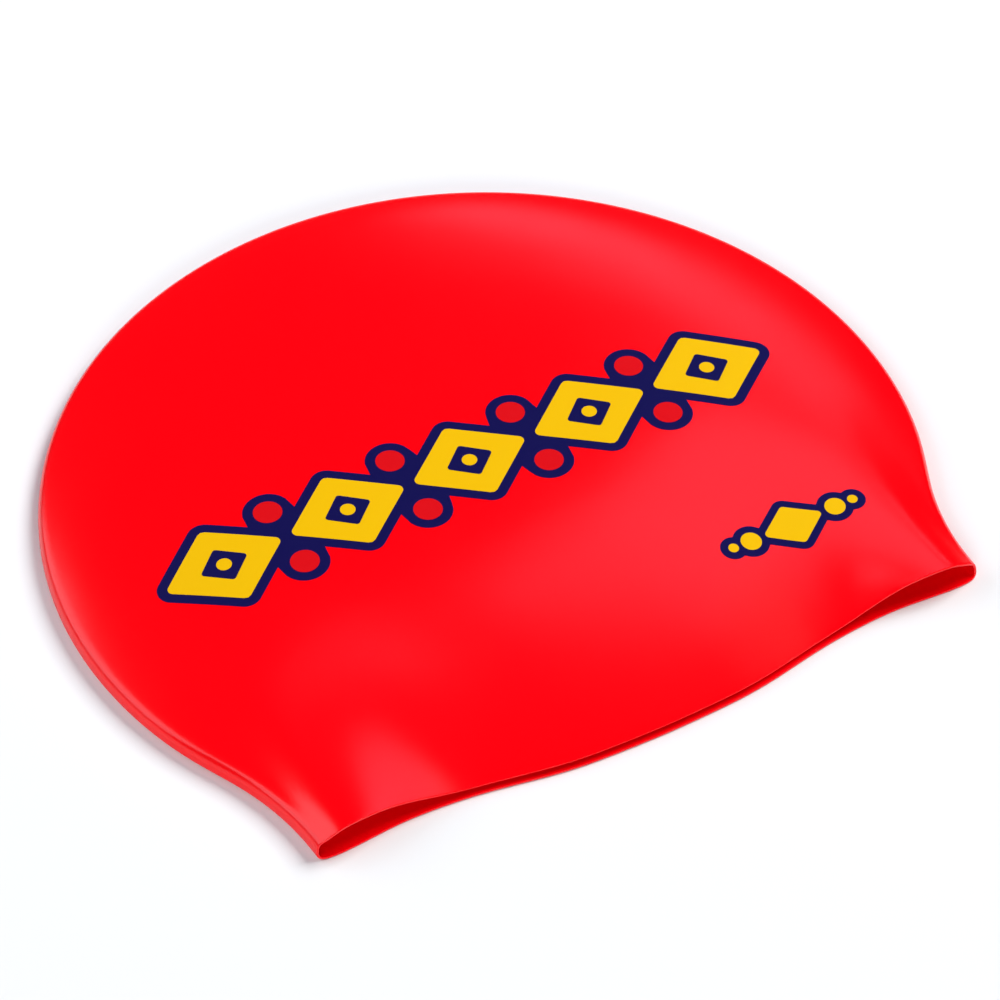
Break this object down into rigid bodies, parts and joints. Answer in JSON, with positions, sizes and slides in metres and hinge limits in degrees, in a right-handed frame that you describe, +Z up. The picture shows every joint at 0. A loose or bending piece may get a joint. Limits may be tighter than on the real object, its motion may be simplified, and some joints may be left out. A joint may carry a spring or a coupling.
{
  "type": "silicone swim cap",
  "caption": "Seamless silicone swim cap lying folded flat in two layers, hollow and open along its mouth, with a loop at each end of the fold.",
  "frame": {"origin": "on the surface the cap lies on, under the middle of its box", "axes": "+X along the mouth from left to right, +Y from the mouth to the crown, +Z up"},
  "size_m": [0.2198, 0.1976, 0.0125],
  "materials": {
    "silicone_red": "satin",
    "ink_navy": "satin",
    "ink_yellow": "satin",
    "ink_dark_red": "satin"
  },
  "bodies": {
    "root": {"cap_shell": "silicone_red"}
  },
  "joints": []
}
